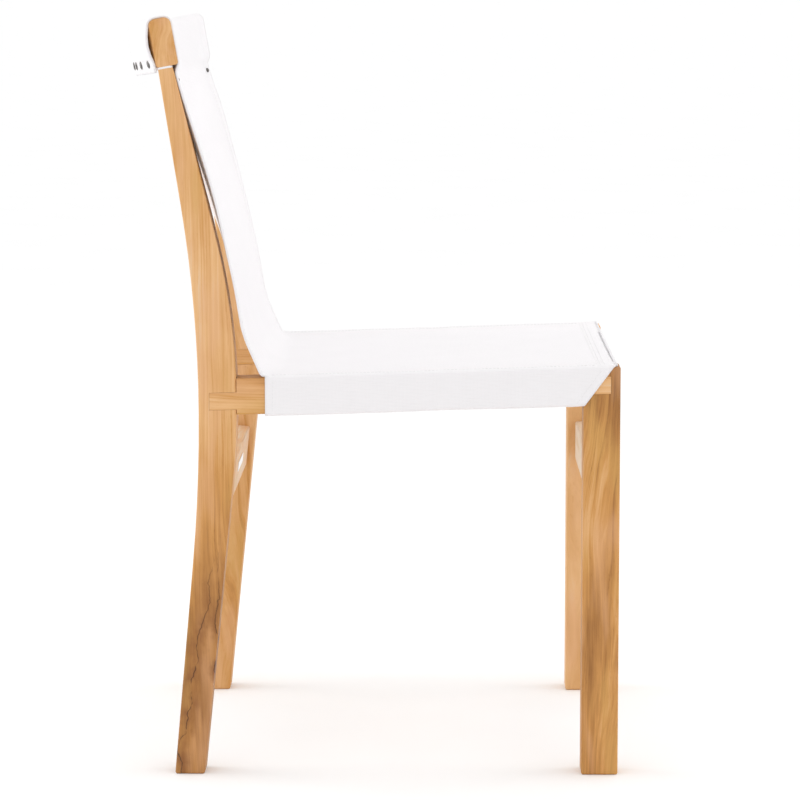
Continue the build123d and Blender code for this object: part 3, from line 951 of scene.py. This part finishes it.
dowel_wood = teak("dowel_beech", "Z", 12.0, (60.0, 60.0), 0.3)
stud_metal = metal("stud_metal", (0.10, 0.09, 0.085), (0.20, 0.19, 0.18), 0.32, 0.45)
screw_steel = metal("screw_steel", (0.42, 0.42, 0.43), (0.62, 0.62, 0.63), 0.25, 0.4)
plate_steel = metal("plate_steel", (0.80, 0.80, 0.80), (0.92, 0.92, 0.92), 0.30, 0.42)
dress("blank_plate", plate_steel)
for hand in ("left", "right"):
    dress("crest_dowels_" + hand, dowel_wood)
    dress("batten_screws_" + hand, screw_steel)
    dress("crest_pad_" + hand, pad_cloth)
for node in ("crest_studs", "corner_snaps"):
    dress(node, stud_metal)
    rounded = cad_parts[node].modifiers.new("rounded", "BEVEL")
    rounded.width = 0.5 * MM
    rounded.segments = 3
    rounded.limit_method = "ANGLE"
    rounded.angle_limit = radians(20)


# ---------------------------------------------------------------- floor, light and camera


def make_floor():
    """A plain floor under the chair."""
    reach = 900000.0  # far enough that its edge never shows
    corners = [(-reach, -reach, 0), (reach, -reach, 0), (reach, reach, 0), (-reach, reach, 0)]
    floor = make_mesh("floor", corners, [(0, 1, 2, 3)])
    floor.data.materials.append(floor_paint("floor_paint"))


def make_lamp(name, kind, place, target, energy, **settings):
    """A lamp in metres, aimed at a target."""
    data = bpy.data.lights.new(name, kind)
    data.energy = energy
    for key, value in settings.items():
        setattr(data, key, value)
    lamp = bpy.data.objects.new(name, data)
    bpy.context.scene.collection.objects.link(lamp)
    lamp.location = place
    aim = Vector(target) - Vector(place)
    lamp.rotation_euler = aim.to_track_quat("-Z", "Y").to_euler()


def make_light():
    """An even white studio: a bright surround, with soft lights above, in front and behind."""
    world = bpy.data.worlds.new("studio")
    world.use_nodes = True
    background = world.node_tree.nodes["Background"]
    background.inputs["Color"].default_value = (1.0, 1.0, 1.0, 1.0)
    background.inputs["Strength"].default_value = 1.0
    bpy.context.scene.world = world
    seat = (0.0, 0.0, 0.45)
    make_lamp("sky", "SUN", (-0.6, -0.5, 4.0), seat, 0.25, angle=radians(70))
    back = (0.0, 0.2, 0.7)
    make_lamp("front", "AREA", (0.3, -2.6, 1.6), back, 13.0, shape="SQUARE", size=1.6)
    make_lamp("rear", "AREA", (0.3, 2.6, 1.6), back, 19.0, shape="SQUARE", size=1.6)


def make_camera():
    """The camera at the right-hand side, in metres and radians, looking slightly down."""
    data = bpy.data.cameras.new("camera")
    data.lens = 148.2
    data.sensor_width = 36.0
    data.clip_end = 2000.0
    camera = bpy.data.objects.new("camera", data)
    bpy.context.scene.collection.objects.link(camera)
    camera.location = (-3.8397, -0.07625, 0.86147)
    pitch = 0.1220
    yaw = 0.0112
    aim = Vector((cos(pitch) * cos(yaw), cos(pitch) * sin(yaw), -sin(pitch)))
    camera.rotation_euler = aim.to_track_quat("-Z", "Y").to_euler()
    bpy.context.scene.camera = camera


make_floor()
make_light()
make_camera()
bpy.context.scene.view_settings.view_transform = "Standard"
